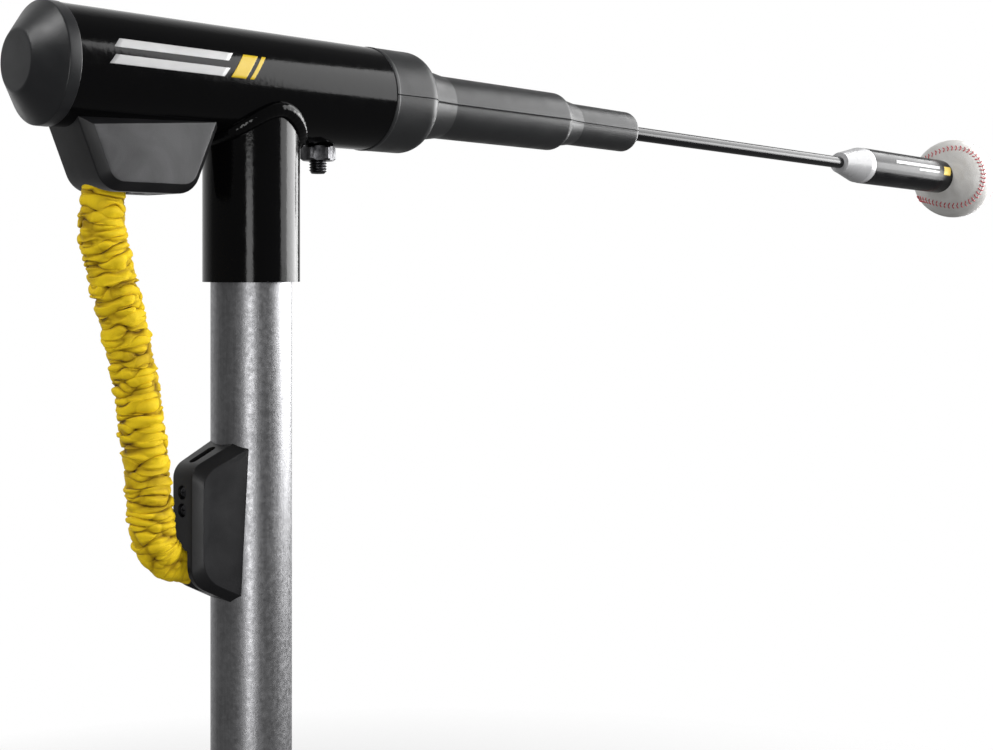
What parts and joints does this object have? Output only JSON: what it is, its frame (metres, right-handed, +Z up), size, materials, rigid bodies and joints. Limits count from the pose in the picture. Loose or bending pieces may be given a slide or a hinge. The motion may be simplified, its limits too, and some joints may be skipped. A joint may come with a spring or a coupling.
{
  "type": "batting tee",
  "caption": "Rotary batting tee: a ball on a long arm that swivels on a telescopic post, with a gathered elastic return band and a low four-legged base.",
  "frame": {"origin": "on the ground under the post's axis, at the centre of the base's bottom", "axes": "+Z up along the post, +X along the swing arm towards the ball at rest"},
  "size_m": [1.1932, 0.666, 0.9794],
  "materials": {
    "black_paint": "gloss black powder paint",
    "galvanised": "galvanised, faintly mottled",
    "boot_rubber": "satin dark grey moulded rubber",
    "cap_plastic": "satin dark grey moulded plastic",
    "housing_plastic": "fine-grained dark grey moulded plastic",
    "nylon": "natural nylon",
    "zinc_steel": "dark zinc plate",
    "rod_gloss": "gloss black glass-fibre rod",
    "nose_white": "gloss white plastic",
    "sleeve_gloss": "gloss black plastic tube",
    "foam": "closed-cell foam",
    "ball_leather": "white cowhide with red stitching",
    "yarn": "wound wool yarn",
    "cork": "cushioned cork",
    "brass": "turned brass",
    "band_fabric": "yellow gathered woven nylon",
    "latex": "natural latex",
    "foot_rubber": "matt black rubber",
    "knob_plastic": "satin black moulded plastic"
  },
  "bodies": {
    "head": {"head_tube": "black_paint", "end_cap": "cap_plastic", "pivot_sleeve": "black_paint", "weld_bead": "black_paint", "upper_bush": "nylon", "lower_bush": "nylon", "front_boot": "boot_rubber", "arm_socket": "zinc_steel", "socket_plug": "nylon", "lock_nut": "zinc_steel", "lock_screw": "zinc_steel", "rod": "rod_gloss", "nose_cone": "nose_white", "ball_sleeve": "sleeve_gloss", "sleeve_filler": "foam", "ball_cover": "ball_leather", "ball_winding": "yarn", "ball_core": "cork", "ball_insert": "brass", "upper_band_housing": "housing_plastic", "upper_housing_screws": "zinc_steel", "upper_anchor_pin": "zinc_steel", "upper_ferrule": "zinc_steel", "elastic_core": "latex", "band_sheath": "band_fabric"},
    "post": {"upper_post": "galvanised", "post_cap": "nylon", "post_slider": "nylon", "lower_band_housing": "housing_plastic", "lower_housing_screws": "zinc_steel", "lower_anchor_pin": "zinc_steel", "lower_ferrule": "zinc_steel"},
    "clamp_shoe": {"clamp_shoe": "nylon"},
    "lock_knob": {"clamp_screw": "zinc_steel", "lock_knob": "knob_plastic"},
    "base": {"lower_post": "black_paint", "guide_bush": "knob_plastic", "clamp_boss": "black_paint", "base_flange": "black_paint", "bottom_plate": "black_paint", "gussets": "black_paint", "centre_foot": "foot_rubber", "leg_bolts": "zinc_steel", "leg_nuts": "zinc_steel", "leg_front_right": "black_paint", "foot_front_right": "foot_rubber", "leg_plug_front_right": "knob_plastic", "leg_front_left": "black_paint", "foot_front_left": "foot_rubber", "leg_plug_front_left": "knob_plastic", "leg_rear_left": "black_paint", "foot_rear_left": "foot_rubber", "leg_plug_rear_left": "knob_plastic", "leg_rear_right": "black_paint", "foot_rear_right": "foot_rubber", "leg_plug_rear_right": "knob_plastic"}
  },
  "joints": [
    {"name": "height_slide", "type": "slide", "parent": "base", "child": "post", "axis": [0, 0, 1], "range_m": [-0.14, 0.18]},
    {"name": "head_swivel", "type": "hinge", "parent": "post", "child": "head", "pos_m": [0, 0, 0.9], "axis": [0, 0, 1], "range_deg": [-170, 170], "stiffness_Nm_per_rad": 1.5, "deforming": ["band_sheath", "elastic_core"]},
    {"name": "shoe_travel", "type": "slide", "parent": "base", "child": "clamp_shoe", "axis": [0, -1, 0], "range_m": [0, 0.0019]},
    {"name": "knob_turn", "type": "hinge", "parent": "clamp_shoe", "child": "lock_knob", "pos_m": [0, -0.046, 0.482], "axis": [0, -1, 0], "range_deg": [0, 450]}
  ],
  "couplings": [
    {"joint": "shoe_travel", "follows": "knob_turn", "m_per_rad": 0.00023873}
  ]
}
